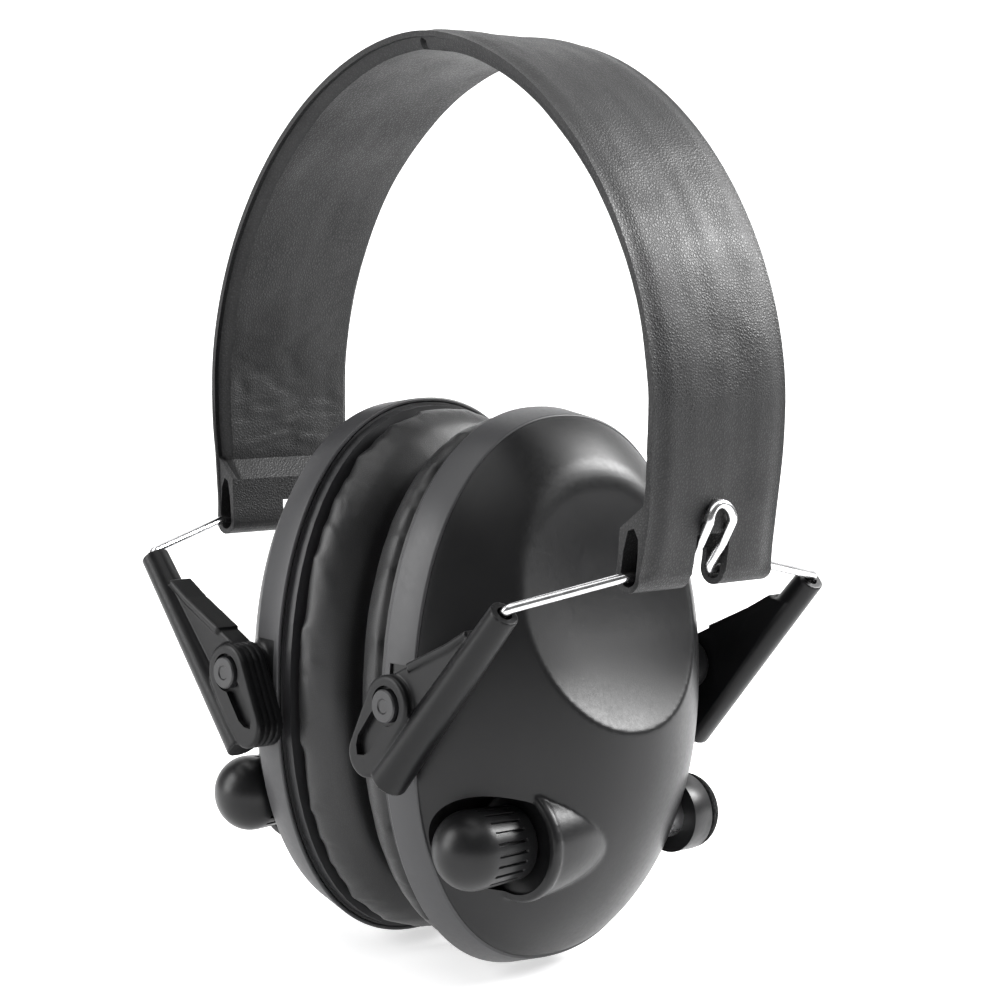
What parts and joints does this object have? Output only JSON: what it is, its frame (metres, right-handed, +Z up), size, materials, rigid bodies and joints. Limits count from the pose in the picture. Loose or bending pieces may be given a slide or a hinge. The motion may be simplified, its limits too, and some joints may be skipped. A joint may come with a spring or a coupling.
{
  "type": "earmuff hearing protector",
  "caption": "Folding earmuff hearing protector: sprung headband, wire bails, sliding arms, swivelling oval cups with soft cushions, volume knobs and microphones",
  "frame": {"origin": "on the line between the ears, midway between the two cups, where the head goes", "axes": "+X from the left ear to the right ear, +Y forwards, +Z up through the top of the band"},
  "size_m": [0.143, 0.1, 0.1977],
  "materials": {
    "band_leatherette": "black leatherette with a fine grain, satin",
    "spring_steel": "plain spring steel",
    "band_foam": "black foam strip",
    "wire_chrome": "bright polished wire",
    "arm_plastic": "black nylon, satin",
    "pin_plastic": "black nylon, satin",
    "shell_plastic": "dark charcoal plastic, fine spark texture",
    "rim_plastic": "dark grey satin plastic",
    "inner_plastic": "black plastic",
    "cushion_leatherette": "smooth black leatherette, satin",
    "liner_foam": "open black foam",
    "speaker_plastic": "black plastic frame",
    "board_green": "green circuit board",
    "cell_jacket": "plain printed sleeve with no words",
    "control_steel": "pressed steel can",
    "knob_plastic": "black plastic, satin",
    "mic_metal": "plain can",
    "mic_foam": "black open-cell foam",
    "screw_steel": "plain steel"
  },
  "bodies": {
    "headband": {"band_cover": "band_leatherette", "spring_strip": "spring_steel", "band_pad": "band_foam"},
    "right_band": {"right_band_cover": "band_leatherette", "right_spring_strip": "spring_steel", "right_band_pad": "band_foam"},
    "right_wire": {"right_bail": "wire_chrome"},
    "right_arms": {"right_front_arm": "arm_plastic", "right_rear_arm": "arm_plastic"},
    "right_cup": {"right_front_pin": "pin_plastic", "right_rear_pin": "pin_plastic", "right_cup_shell": "shell_plastic", "right_cup_rim": "rim_plastic", "right_cushion_plate": "inner_plastic", "right_ear_cushion": "cushion_leatherette", "right_foam_liner": "liner_foam", "right_baffle": "inner_plastic", "right_speaker": "speaker_plastic", "right_circuit_board": "board_green", "right_battery_holder": "inner_plastic", "right_battery_cells": "cell_jacket", "right_volume_control": "control_steel", "right_microphone": "mic_metal", "right_mic_foam": "mic_foam", "right_cup_screws": "screw_steel"},
    "right_knob": {"right_volume_knob": "knob_plastic"},
    "left_band": {"left_band_cover": "band_leatherette", "left_spring_strip": "spring_steel", "left_band_pad": "band_foam"},
    "left_wire": {"left_bail": "wire_chrome"},
    "left_arms": {"left_front_arm": "arm_plastic", "left_rear_arm": "arm_plastic"},
    "left_cup": {"left_front_pin": "pin_plastic", "left_rear_pin": "pin_plastic", "left_cup_shell": "shell_plastic", "left_cup_rim": "rim_plastic", "left_cushion_plate": "inner_plastic", "left_ear_cushion": "cushion_leatherette", "left_foam_liner": "liner_foam", "left_baffle": "inner_plastic", "left_speaker": "speaker_plastic", "left_circuit_board": "board_green", "left_battery_holder": "inner_plastic", "left_battery_cells": "cell_jacket", "left_volume_control": "control_steel", "left_microphone": "mic_metal", "left_mic_foam": "mic_foam", "left_cup_screws": "screw_steel"},
    "left_knob": {"left_volume_knob": "knob_plastic"}
  },
  "joints": [
    {"name": "right_flex", "type": "hinge", "parent": "headband", "child": "right_band", "pos_m": [0.02, 0, 0.13386], "axis": [0, -1, 0], "range_deg": [0, 30], "stiffness_Nm_per_rad": 1.2},
    {"name": "right_fold", "type": "hinge", "parent": "right_band", "child": "right_wire", "pos_m": [0.0637, 0, 0.0295], "axis": [0, 1, 0], "range_deg": [0, 70]},
    {"name": "right_reach", "type": "slide", "parent": "right_wire", "child": "right_arms", "axis": [-0.6574, 0, -0.7536], "range_m": [0, 0.015], "deforming": ["right_ear_cushion"]},
    {"name": "right_level", "type": "hinge", "parent": "right_arms", "child": "right_cup", "pos_m": [0.0258, 0, 0.002], "axis": [0, -1, 0], "range_deg": [0, 70]},
    {"name": "right_volume", "type": "hinge", "parent": "right_cup", "child": "right_knob", "pos_m": [0.0357, -0.0275, -0.0274], "axis": [0, 1, 0], "range_deg": [0, 300]},
    {"name": "left_flex", "type": "hinge", "parent": "headband", "child": "left_band", "pos_m": [-0.02, 0, 0.13386], "axis": [0, 1, 0], "range_deg": [0, 30], "stiffness_Nm_per_rad": 1.2},
    {"name": "left_fold", "type": "hinge", "parent": "left_band", "child": "left_wire", "pos_m": [-0.0637, 0, 0.0295], "axis": [0, -1, 0], "range_deg": [0, 70]},
    {"name": "left_reach", "type": "slide", "parent": "left_wire", "child": "left_arms", "axis": [0.6574, 0, -0.7536], "range_m": [0, 0.015], "deforming": ["left_ear_cushion"]},
    {"name": "left_level", "type": "hinge", "parent": "left_arms", "child": "left_cup", "pos_m": [-0.0258, 0, 0.002], "axis": [0, 1, 0], "range_deg": [0, 70]},
    {"name": "left_volume", "type": "hinge", "parent": "left_cup", "child": "left_knob", "pos_m": [-0.0357, -0.0275, -0.0274], "axis": [0, 1, 0], "range_deg": [0, 300]}
  ],
  "couplings": [
    {"joint": "right_level", "follows": "right_fold", "ratio": 1},
    {"joint": "left_level", "follows": "left_fold", "ratio": 1}
  ]
}
